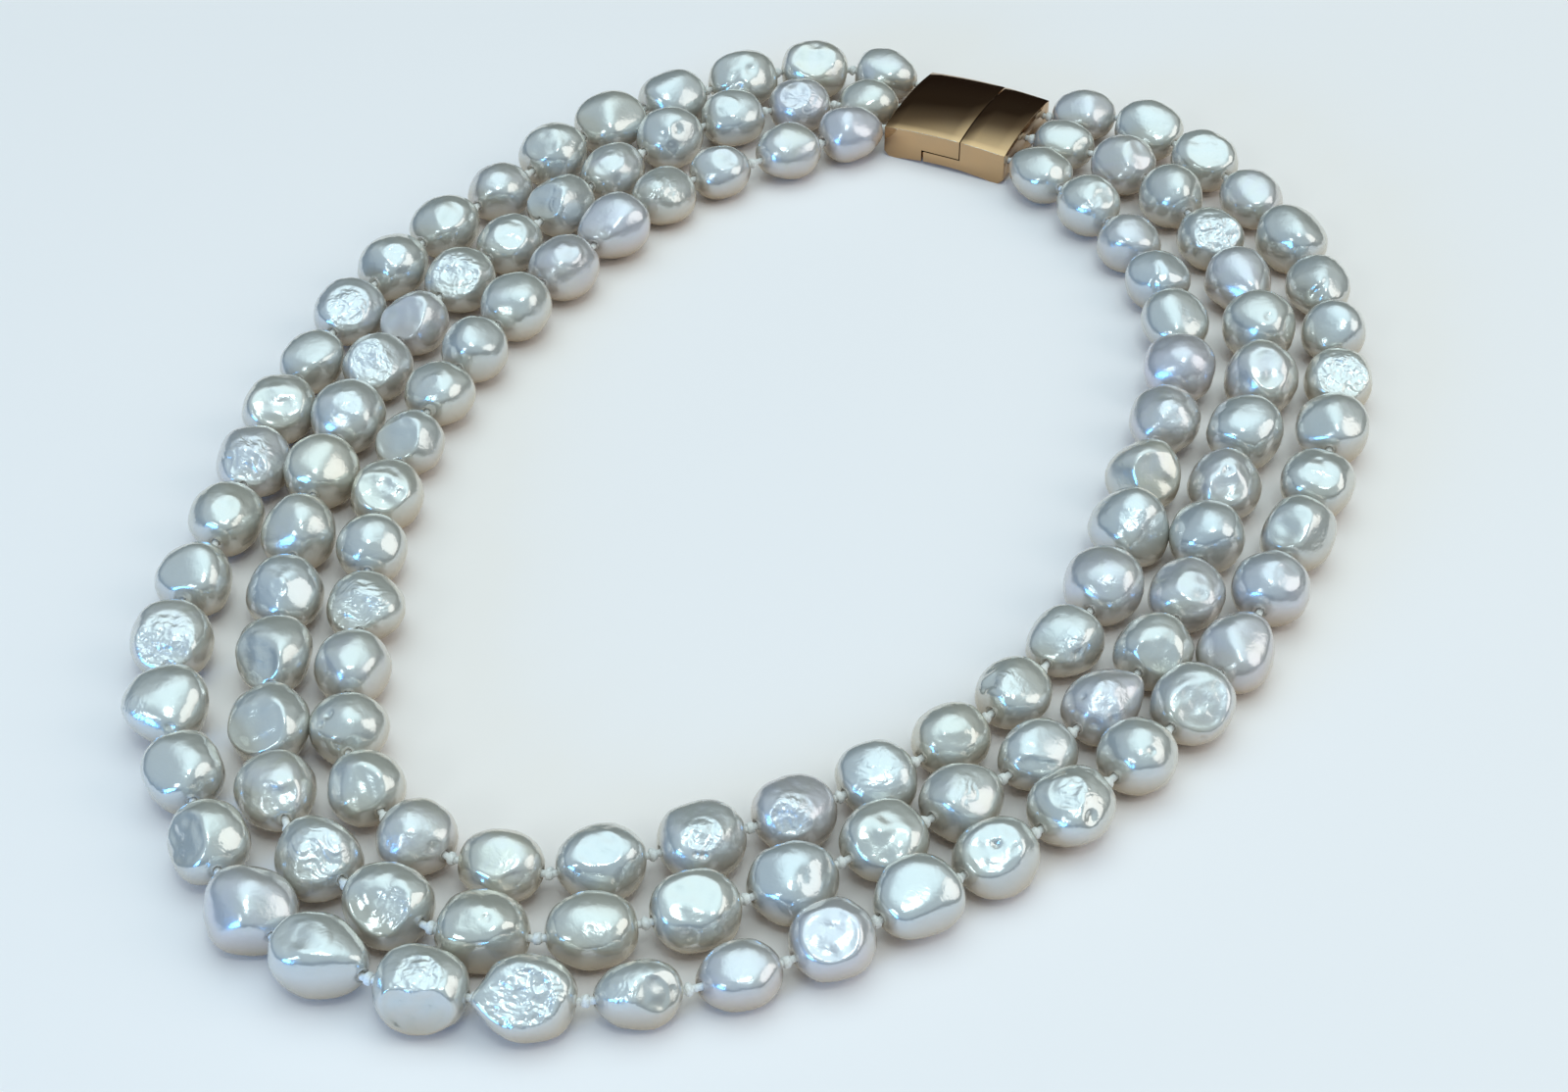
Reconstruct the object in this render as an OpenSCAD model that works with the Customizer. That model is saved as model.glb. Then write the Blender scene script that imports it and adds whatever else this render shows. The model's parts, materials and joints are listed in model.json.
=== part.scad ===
// Three strands of baroque pearls, knotted on silk and joined by one polished box clasp.
// The necklace lies closed on a table: X to the right, Y away from the viewer, Z up, table at Z = 0.

/* [Pearls] */
// Usual length of a pearl along its thread
pearl_l = 9.9; // [9:0.1:11]
// Usual width of a pearl across its thread
pearl_w = 8.7; // [7.6:0.1:9]
// Usual height of a pearl as it lies on the table
pearl_h = 8; // [7:0.1:9]
// Hole drilled through each pearl
bore_d = 1.1; // [1:0.05:1.4]

/* [Silk thread] */
// Diameter of the doubled thread
thread_d = 0.8; // [0.6:0.05:0.85]
// Diameter of the knot between two pearls
knot_d = 1.3; // [1.1:0.05:1.4]
// Room from the end of one pearl to the end of the next, where the knot sits
knot_gap = 1.1; // [1:0.05:1.4]
// Diameter of the knot that holds a strand inside the clasp
end_knot_d = 1.5; // [1.3:0.1:1.8]
// Clearance of a knot from the wall that it sits at
knot_seat = 0.15; // [0.1:0.05:0.3]

/* [Clasp] */
// Length of the closed clasp from strand end to strand end
clasp_l = 19; // [18:0.5:21]
// Width of the clasp across the strands
clasp_w = 17.5; // [17:0.5:20]
// Height of the clasp at the middle of its domed top
clasp_h = 6.2; // [5.8:0.1:7]
// Fall of the domed top from the middle to its long edges
dome_fall = 0.9; // [0.5:0.1:1.4]
// Fall of the arched top from the middle to its ends
arch_fall = 0.5; // [0.3:0.1:1]
// Rise of the hollow under the clasp
under_rise = 0.65; // [0.4:0.05:0.9]
// Flat foot at each end of the underside
foot_l = 1.2; // [1:0.1:2]
// Sloped cut along the lower edges of the two ends
end_cut = 0.8; // [0.4:0.1:1]
// Sheet thickness of the clasp
clasp_wall = 0.8; // [0.6:0.05:1]
// Length of the box half, up to the seam
box_l = 11.9; // [11:0.1:13]
// Open seam between the two halves
seam = 0.15; // [0.1:0.05:0.3]
// Distance between the thread holes at an end of the clasp
hole_step = 6.9; // [6.4:0.1:7]
// Height of the thread holes above the table
hole_up = 3.2; // [2.8:0.1:3.4]
// Hole in the clasp for a strand's thread
hole_d = 1.1; // [1:0.05:1.3]

/* [Tongue and press tab] */
// Reach of the spring tongue into the box half
tongue_l = 8; // [7:0.1:8.3]
// Width of the spring tongue
tongue_w = 9; // [6:0.5:11]
// Sheet thickness of the spring tongue
tongue_t = 0.5; // [0.4:0.05:0.7]
// Height of the open end of the folded tongue
tongue_h = 2.6; // [2:0.1:2.9]
// Length of the press tab on the near side
tab_l = 5.8; // [4:0.1:7]
// Height of the press tab's upper edge above the table
tab_h = 2.2; // [1.8:0.1:2.6]

/* [Place on the table] */
// Middle of the clasp, to the right of the origin
clasp_x = 26.8; // [24:0.1:30]
// Middle of the clasp, away from the viewer
clasp_y = 77.7; // [75:0.1:82]
// Turn of the clasp seen from above
clasp_turn = -26; // [-30:1:-22]

/* [Hidden] */

// Each strand runs anticlockwise seen from above, from the left end of the clasp to its right end.
// Its few route points lie on the table between the two ends, in millimetres.
OUTER_ROUTE = [[5, 92], [-11.5, 85.5], [-26, 76], [-35, 65], [-55, 36.5], [-65, 6], [-68, -16], [-71.5, -37],
               [-64, -65], [-55, -82], [-38.5, -90.5], [-8, -89.5], [21, -73], [45, -50], [61.5, -19.5], [72, 14],
               [70.5, 44], [55, 72], [46, 79.5]];
MIDDLE_ROUTE = [[1, 81], [-14, 74], [-32, 53], [-50, 24], [-57.5, -8], [-58.5, -40], [-53, -67.5],
                [-35.5, -82], [-10, -79.5], [18, -64], [42, -40], [53.5, -10], [62.5, 18], [59.5, 44], [46, 67]];
INNER_ROUTE = [[0, 68], [-15, 60], [-24, 47], [-33.5, 33], [-47, 0], [-49, -33], [-44.5, -63], [-31.5, -72.5],
               [-6, -67.5], [18, -53.5], [36.5, -30], [45, -4], [52, 20], [47.5, 45]];

// One letter a pearl names its form, one digit its size and one digit the turn of its flat or bulge.
OUTER_FORMS = "PFKBTBOOOWNFWBPWKKFTDWWNNFTKKRFLRFKKWROBOFFO";
OUTER_SIZES = "25555535543443343334343112223343443422353442";
OUTER_TURNS = "00131246201005302824101150209207485103162091";
MIDDLE_FORMS = "OFBRNFOWFWBRPKKFDTFKOBKFDOLBFRTBTRPWRSO";
MIDDLE_SIZES = "123554343355333423433333222334355633441";
MIDDLE_TURNS = "094271301950202160010300061098013500489";
INNER_FORMS = "PDOKDBRRSFFRWRSRSOOWWSOKPRTDOBFSSRL";
INNER_SIZES = "22124453323223222233232115434432232";
INNER_TURNS = "15902304110517123610004901412819062";

// The forms. Lengths, widths and heights are shares of the usual pearl.
// The taper is negative where the pearl narrows towards the next one. Blunt ends have a full above 2.
// The three-sided swell, the depth of the flat and the lean of the flat are shares of the half height.
// Each pearl's own size and turn follow its form's columns.
COLUMNS = ["length", "width", "height", "taper", "full", "swell", "flat", "lean", "size", "turn"];
function its(pearl, column) = pearl[search([column], COLUMNS)[0]];
function form(letter) =
    letter == "R" ? [0.95, 1.00, 1.05, 0.00, 2.0, 0.01, 0.00, 0.00] :
    letter == "O" ? [1.02, 0.98, 0.97, 0.05, 2.0, 0.02, 0.04, 0.10] :
    letter == "D" ? [1.04, 1.00, 1.00, -0.24, 2.0, 0.03, 0.06, 0.10] :
    letter == "P" ? [1.04, 1.00, 1.00, 0.24, 2.0, 0.03, 0.06, -0.10] :
    letter == "F" ? [0.99, 1.01, 1.03, 0.04, 2.3, 0.02, 0.22, 0.08] :
    letter == "W" ? [1.00, 1.02, 1.02, -0.06, 2.4, 0.04, 0.24, -0.10] :
    letter == "B" ? [0.99, 0.99, 1.00, 0.00, 2.8, 0.03, 0.00, 0.00] :
    letter == "T" ? [1.00, 1.00, 1.03, 0.12, 2.2, 0.08, 0.08, 0.12] :
    letter == "S" ? [0.90, 1.04, 1.00, -0.05, 2.3, 0.04, 0.08, 0.00] :
    letter == "L" ? [1.08, 0.96, 0.98, -0.10, 2.1, 0.04, 0.05, 0.15] :
    letter == "K" ? [1.02, 1.01, 1.00, -0.08, 2.4, 0.07, 0.12, 0.15] :
    [1.02, 0.89, 0.90, 0.12, 2.0, 0.02, 0.05, -0.10];
SIZE_STEP = 0.035;
USUAL_SIZE = 3;
TURN_STEP = 36;
function digit(text, i) = ord(text[i]) - ord("0");
function scale_of(digit) = 1 + (digit - USUAL_SIZE) * SIZE_STEP;
// A strand as a list of pearls, each a form row and its size and turn
function pearls(forms, sizes, turns) =
    [for (i = [0 : len(forms) - 1])
        concat(form(forms[i]), [scale_of(digit(sizes, i)), digit(turns, i) * TURN_STEP])];
function length_of(p) = pearl_l * its(p, "length") * its(p, "size");
function width_of(p) = pearl_w * its(p, "width") * its(p, "size");
function height_of(p) = pearl_h * its(p, "height") * its(p, "size");
OUTER = pearls(OUTER_FORMS, OUTER_SIZES, OUTER_TURNS);
MIDDLE = pearls(MIDDLE_FORMS, MIDDLE_SIZES, MIDDLE_TURNS);
INNER = pearls(INNER_FORMS, INNER_SIZES, INNER_TURNS);

// Places on the clasp, given along its length, across it and up
function on_clasp(x, y, z) = [clasp_x + x * cos(clasp_turn) - y * sin(clasp_turn),
                              clasp_y + x * sin(clasp_turn) + y * cos(clasp_turn), z];
knot_out = clasp_l / 2 + knot_seat + knot_d / 2;
knot_in = clasp_l / 2 - clasp_wall - knot_seat - end_knot_d / 2;
// Row 1 is the outer strand, row 0 the middle one and row -1 the inner one
function outside_knot(side, row) = on_clasp(side * knot_out, row * hole_step, hole_up);
function inside_knot(side, row) = on_clasp(side * knot_in, row * hole_step, hole_up);
function flat_point(p) = [p[0], p[1]];

// A smooth curve through the points: the slope at a point is weighed by the chords beside it
STEPS = 10;
function slope(p, i) =
    i == 0 ? (p[1] - p[0]) / norm(p[1] - p[0]) :
    i == len(p) - 1 ? (p[i] - p[i - 1]) / norm(p[i] - p[i - 1]) :
    let (a = norm(p[i] - p[i - 1]), b = norm(p[i + 1] - p[i]))
    ((p[i] - p[i - 1]) * b / a + (p[i + 1] - p[i]) * a / b) / (a + b);
function between(p, i, t) =
    let (h = norm(p[i + 1] - p[i]), t2 = t * t, t3 = t * t * t)
    p[i] * (2 * t3 - 3 * t2 + 1) + p[i + 1] * (3 * t2 - 2 * t3)
    + slope(p, i) * h * (t3 - 2 * t2 + t) + slope(p, i + 1) * h * (t3 - t2);
function curve(p) = concat([for (i = [0 : len(p) - 2]) for (k = [0 : STEPS - 1]) between(p, i, k / STEPS)],
                           [p[len(p) - 1]]);
function sums(v) = [for (i = 0, s = 0; i <= len(v); s = s + (i < len(v) ? v[i] : 0), i = i + 1) s];
function chords(c) = [for (i = [1 : len(c) - 1]) norm(c[i] - c[i - 1])];
function total(v) = sums(v)[len(v)];

// The route opens out from the clasp, or draws in to it, until it is as long as its pearls and knots
FIT_ROUNDS = 4;
function opened(route, row, k) =
    let (c = [clasp_x, clasp_y])
    concat([flat_point(outside_knot(-1, row))], [for (p = route) c + (p - c) * k],
           [flat_point(outside_knot(1, row))]);
function fitted(route, row, need, k = 1, rounds = FIT_ROUNDS) =
    let (c = curve(opened(route, row, k)), now = total(chords(c)))
    rounds < 1 ? c : fitted(route, row, need, k * need / now, rounds - 1);

// The knots of a strand, from the one outside the clasp's left end to the one outside its right end
function knots(route, row, strand) =
    let (steps = [for (p = strand) length_of(p) + knot_gap], need = total(steps),
         c = fitted(route, row, need), way = sums(chords(c)), stretch = total(chords(c)) / need,
         at = sums(steps), last = len(strand),
         xs = [for (i = [0 : len(c) - 1]) [way[i], c[i][0]]],
         ys = [for (i = [0 : len(c) - 1]) [way[i], c[i][1]]])
    [for (i = [0 : last])
        i == 0 ? outside_knot(-1, row) :
        i == last ? outside_knot(1, row) :
        [lookup(at[i] * stretch, xs), lookup(at[i] * stretch, ys),
         (height_of(strand[i - 1]) + height_of(strand[i])) / 4]];
OUTER_KNOTS = knots(OUTER_ROUTE, 1, OUTER);
MIDDLE_KNOTS = knots(MIDDLE_ROUTE, 0, MIDDLE);
INNER_KNOTS = knots(INNER_ROUTE, -1, INNER);

// A pearl's surface: rings of points round the line from knot to knot, closed by a point at each end
SIDES = 12;
RINGS = 5;
RING_STEP = 30;
FLAT_KEEP = 0.15;
SWELL_FADE = 0.5;
function unit(v) = v / norm(v);
function girth(p, s) = sqrt(1 - pow(abs(s), its(p, "full"))) * (1 + its(p, "taper") * s);
// Radius shares to the outer side and up, before the flat is pressed in
function rounded(p, s, a) =
    let (bulge = its(p, "swell") * cos(3 * (a - its(p, "turn"))),
         r = girth(p, s) * (1 + bulge * (1 - SWELL_FADE * s * s)))
    [r * sin(a), r * cos(a)];
function pressed(p, s, q) =
    let (turn = its(p, "turn"), f = [sin(turn), cos(turn)], flat = its(p, "flat"),
         face = 1 - flat + its(p, "lean") * s * flat * 2, over = q * f - face)
    flat > 0 && over > 0 ? q - f * over * (1 - FLAT_KEEP) : q;
function ring_share(j) = sin((j - (RINGS - 1) / 2) * RING_STEP);
function skin(p, from, to) =
    let (along = unit(to - from), out = unit(cross(along, [0, 0, 1])), up = cross(out, along),
         mid = (from + to) / 2, half = [length_of(p), width_of(p), height_of(p)] / 2,
         shell = concat(
             [mid - along * half[0]],
             [for (j = [0 : RINGS - 1]) for (k = [0 : SIDES - 1])
                 let (s = ring_share(j), q = pressed(p, s, rounded(p, s, k * 360 / SIDES)))
                 mid + along * half[0] * s + out * half[1] * q[0] + up * half[2] * q[1]],
             [mid + along * half[0]]),
         low = min([for (v = shell) v[2]]))
    [for (v = shell) v - [0, 0, low]];
function ring_point(j, k) = 1 + j * SIDES + (k + SIDES) % SIDES;
TIP = 1 + RINGS * SIDES;
FACES = concat(
    [for (k = [0 : SIDES - 1]) [0, ring_point(0, k), ring_point(0, k + 1)]],
    [for (j = [0 : RINGS - 2]) for (k = [0 : SIDES - 1])
        [ring_point(j, k), ring_point(j + 1, k), ring_point(j + 1, k + 1)]],
    [for (j = [0 : RINGS - 2]) for (k = [0 : SIDES - 1])
        [ring_point(j, k), ring_point(j + 1, k + 1), ring_point(j, k + 1)]],
    [for (k = [0 : SIDES - 1]) [TIP, ring_point(RINGS - 1, k + 1), ring_point(RINGS - 1, k)]]);

// A round rod from one place to another, turned about its own line
module rod(from, to, d, turn = 0) {
    v = to - from;
    translate(from)
        rotate([0, acos(v[2] / norm(v)), atan2(v[1], v[0])])
            rotate(turn)
                cylinder(h = norm(v), d = d, $fn = 24);
}

// The bore is turned so that its seam lies between the edges of the faces it cuts
BORE_TURN = 11;
module pearl(p, from, to) {
    difference() {
        polyhedron(points = skin(p, from, to), faces = FACES);
        rod(from, to, bore_d, BORE_TURN);
    }
}

module strand_pearls(strand, knots) {
    for (i = [0 : len(strand) - 1])
        pearl(strand[i], knots[i], knots[i + 1]);
}

// The silk: a knot at each place, and a length of thread from inside each knot to inside the next
THREAD_START = 0.3;
KNOT_FLAT = 0.55;
module knot_at(place, along, d) {
    translate(place)
        rotate([0, acos(along[2] / norm(along)), atan2(along[1], along[0])])
            intersection() {
                sphere(d = d, $fn = 32);
                cube([2 * d, 2 * d, KNOT_FLAT * d], center = true);
            }
}

module silk(from, to, from_d, to_d) {
    v = unit(to - from);
    rod(from + v * from_d / 2 * THREAD_START, to - v * to_d / 2 * THREAD_START, thread_d);
}

module strand_thread(row, knots) {
    first = inside_knot(-1, row);
    last = inside_knot(1, row);
    places = concat([first], knots, [last]);
    knot_at(first, knots[0] - first, end_knot_d);
    knot_at(last, last - knots[len(knots) - 1], end_knot_d);
    for (i = [1 : len(knots)])
        knot_at(places[i], unit(places[i + 1] - places[i]) + unit(places[i] - places[i - 1]), knot_d);
    for (i = [1 : len(knots) - 1])
        silk(knots[i - 1], knots[i], knot_d, knot_d);
    silk(first, knots[0], end_knot_d, knot_d);
    silk(last, knots[len(knots) - 1], end_knot_d, knot_d);
}

// The clasp's outer form, thinned by a wall: domed across, arched along, hollow underneath
function bow(chord, rise) = (chord * chord / 4 + rise * rise) / (2 * rise);
dome_r = bow(clasp_w, dome_fall);
arch_r = bow(clasp_l, arch_fall);
under_l = clasp_l - 2 * end_cut - 2 * foot_l;
under_r = bow(under_l, under_rise);
over = 1;
module dome(wall) {
    translate([0, 0, clasp_h - arch_r])
        rotate([90, 0, 0])
            rotate_extrude($fn = 360)
                intersection() {
                    translate([arch_r - dome_r, 0]) circle(r = dome_r - wall, $fn = 180);
                    translate([arch_r - clasp_h - over, -clasp_w]) square([clasp_h + 2 * over, 2 * clasp_w]);
                }
}

module side_view() {
    x = clasp_l / 2;
    polygon([[-x, end_cut], [-x + end_cut, 0], [x - end_cut, 0], [x, end_cut], [x, clasp_h], [-x, clasp_h]]);
}

module clasp_form() {
    intersection() {
        dome(0);
        rotate([90, 0, 0]) linear_extrude(clasp_w, center = true) side_view();
    }
}

module clasp_room() {
    floor_z = under_rise + clasp_wall;
    intersection() {
        dome(clasp_wall);
        translate([0, 0, floor_z + clasp_h / 2])
            cube([clasp_l - 2 * clasp_wall, clasp_w - 2 * clasp_wall, clasp_h], center = true);
    }
}

module under_arch() {
    translate([0, 0, under_rise - under_r])
        rotate([90, 0, 0]) cylinder(r = under_r, h = clasp_w + 2 * over, center = true, $fn = 360);
}

module thread_holes(side) {
    for (row = [-1 : 1])
        translate([side * (clasp_l / 2 - clasp_wall - over / 2), row * hole_step, hole_up])
            rotate([0, side * 90, 0]) cylinder(d = hole_d, h = clasp_wall + over, $fn = 24);
}

// A slab of the clasp from one place to another along its length
module slab(from_x, to_x) {
    translate([from_x, -clasp_w / 2 - over, -over])
        cube([to_x - from_x, clasp_w + 2 * over, clasp_h + 2 * over]);
}

seam_x = box_l - clasp_l / 2;
near_y = -clasp_w / 2;
module place_clasp() {
    translate([clasp_x, clasp_y, 0]) rotate([0, 0, clasp_turn]) children();
}

module clasp_box() {
    color("goldenrod") place_clasp()
        difference() {
            clasp_form();
            under_arch();
            slab(seam_x, clasp_l);
            intersection() {
                clasp_room();
                slab(-clasp_l, seam_x + over);
            }
            translate([seam_x - tab_l - seam, near_y - over, -over])
                cube([tab_l + 2 * seam, over + clasp_wall + seam, over + tab_h + seam]);
            thread_holes(-1);
        }
}

// The tongue is one folded strip: flat below, and sprung up from the fold at its tip
module tongue_side() {
    z = under_rise + clasp_wall + 2 * seam;
    root = seam_x + seam + clasp_wall / 2;
    tip = seam_x + seam - tongue_l;
    open_x = seam_x - seam;
    polygon([[root, z], [tip, z], [tip, z + 2 * tongue_t], [open_x, z + tongue_h],
             [open_x, z + tongue_h - tongue_t], [tip + 2 * tongue_t, z + tongue_t], [root, z + tongue_t]]);
}

module clasp_tongue() {
    color("goldenrod") place_clasp() {
        difference() {
            clasp_form();
            under_arch();
            slab(-clasp_l, seam_x + seam);
            intersection() {
                clasp_room();
                slab(seam_x + seam + clasp_wall, clasp_l);
            }
            thread_holes(1);
        }
        rotate([90, 0, 0]) linear_extrude(tongue_w, center = true) tongue_side();
        difference() {
            translate([seam_x + seam - tab_l, near_y, 0])
                cube([tab_l + clasp_wall / 2, clasp_wall, tab_h]);
            under_arch();
        }
    }
}

module outer_pearls() { color("ivory") strand_pearls(OUTER, OUTER_KNOTS); }
module middle_pearls() { color("ivory") strand_pearls(MIDDLE, MIDDLE_KNOTS); }
module inner_pearls() { color("ivory") strand_pearls(INNER, INNER_KNOTS); }
module outer_thread() { color("white") strand_thread(1, OUTER_KNOTS); }
module middle_thread() { color("white") strand_thread(0, MIDDLE_KNOTS); }
module inner_thread() { color("white") strand_thread(-1, INNER_KNOTS); }

outer_pearls();
middle_pearls();
inner_pearls();
outer_thread();
middle_thread();
inner_thread();
clasp_box();
clasp_tongue();
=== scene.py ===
"""The looks of a three row necklace of knotted baroque pearls with a box clasp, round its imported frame."""

import json
import logging
import math
from dataclasses import dataclass, field
from enum import Enum
from typing import Optional, Sequence, Union

import bmesh
import bpy
from mathutils import Matrix, Vector, noise
from mathutils.bvhtree import BVHTree
from mathutils.interpolate import poly_3d_calc

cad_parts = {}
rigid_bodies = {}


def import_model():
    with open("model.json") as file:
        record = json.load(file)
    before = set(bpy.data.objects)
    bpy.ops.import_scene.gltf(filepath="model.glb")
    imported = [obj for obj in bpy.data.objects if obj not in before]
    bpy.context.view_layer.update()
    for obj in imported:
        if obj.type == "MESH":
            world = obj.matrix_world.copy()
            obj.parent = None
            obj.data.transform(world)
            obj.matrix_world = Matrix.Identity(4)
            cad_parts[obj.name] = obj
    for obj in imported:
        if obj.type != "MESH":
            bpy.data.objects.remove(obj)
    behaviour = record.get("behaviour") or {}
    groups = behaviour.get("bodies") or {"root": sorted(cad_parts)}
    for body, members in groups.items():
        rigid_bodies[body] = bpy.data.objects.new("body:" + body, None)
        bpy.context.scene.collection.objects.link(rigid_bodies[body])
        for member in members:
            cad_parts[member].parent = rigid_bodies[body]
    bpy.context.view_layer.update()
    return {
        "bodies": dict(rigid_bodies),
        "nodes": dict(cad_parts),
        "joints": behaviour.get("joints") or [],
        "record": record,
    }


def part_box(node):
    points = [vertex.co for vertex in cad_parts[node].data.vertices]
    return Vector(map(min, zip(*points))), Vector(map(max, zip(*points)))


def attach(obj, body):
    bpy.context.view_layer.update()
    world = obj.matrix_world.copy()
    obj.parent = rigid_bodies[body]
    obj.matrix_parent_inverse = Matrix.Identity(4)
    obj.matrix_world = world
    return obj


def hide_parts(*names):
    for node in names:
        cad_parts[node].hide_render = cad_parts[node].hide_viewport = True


MM = 0.001
WELD = 0.001 * MM
log = logging.getLogger("necklace")


class Mark(Enum):
    """The kinds of uneven place that a baroque pearl grows."""

    LEVELLED = "levelled"
    FLAT = "flat"
    WRINKLED = "wrinkled"
    RIDGED = "ridged"
    SWIRLED = "swirled"
    CREASED = "creased"
    DENTED = "dented"
    PITTED = "pitted"
    DRAWN = "drawn"


@dataclass(frozen=True)
class Spot:
    """One mark on a pearl, placed by the side of the pearl that it shows on.

    right and up are shares of the radius, turn is in degrees from the right towards up.
    """

    kind: Mark
    right: float = 0.0
    up: float = 0.0
    size: float = 0.6
    turn: float = 0.0
    depth: float = 1.0


def flat(right: float, up: float, size: float = 0.65, depth: float = 1.0) -> Spot:
    """A smooth flat face with a raised rim."""
    return Spot(Mark.FLAT, right, up, size, 0.0, depth)


def levelled(right: float, up: float, size: float, depth: float) -> Spot:
    """A faint flat place that fades into the round."""
    return Spot(Mark.LEVELLED, right, up, size, 0.0, depth)


def wrinkled(right: float, up: float, size: float = 0.7, depth: float = 1.0, turn: float = 0.0) -> Spot:
    """A flattened face full of fine folds, longer along turn."""
    return Spot(Mark.WRINKLED, right, up, size, turn, depth)


def ridged(right: float, up: float, size: float = 0.7, turn: float = 0.0, depth: float = 1.0) -> Spot:
    """A face with fine ridges side by side, which run along turn."""
    return Spot(Mark.RIDGED, right, up, size, turn, depth)


def swirled(right: float, up: float, size: float = 0.5, depth: float = 1.0) -> Spot:
    """Rings round one point."""
    return Spot(Mark.SWIRLED, right, up, size, 0.0, depth)


def creased(right: float, up: float, size: float = 0.6, turn: float = 0.0, depth: float = 1.0) -> Spot:
    """One fold that runs along turn."""
    return Spot(Mark.CREASED, right, up, size, turn, depth)


def dented(right: float, up: float, size: float = 0.35, depth: float = 1.0) -> Spot:
    """A soft hollow."""
    return Spot(Mark.DENTED, right, up, size, 0.0, depth)


def pitted(right: float, up: float, size: float = 0.07, depth: float = 1.0) -> Spot:
    """A pinprick."""
    return Spot(Mark.PITTED, right, up, size, 0.0, depth)


def drawn(right: float, up: float, depth: float = 1.0, size: float = 0.6) -> Spot:
    """A side drawn out to a blunt point, sharper the smaller the size."""
    return Spot(Mark.DRAWN, right, up, size, 0.0, depth)


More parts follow.
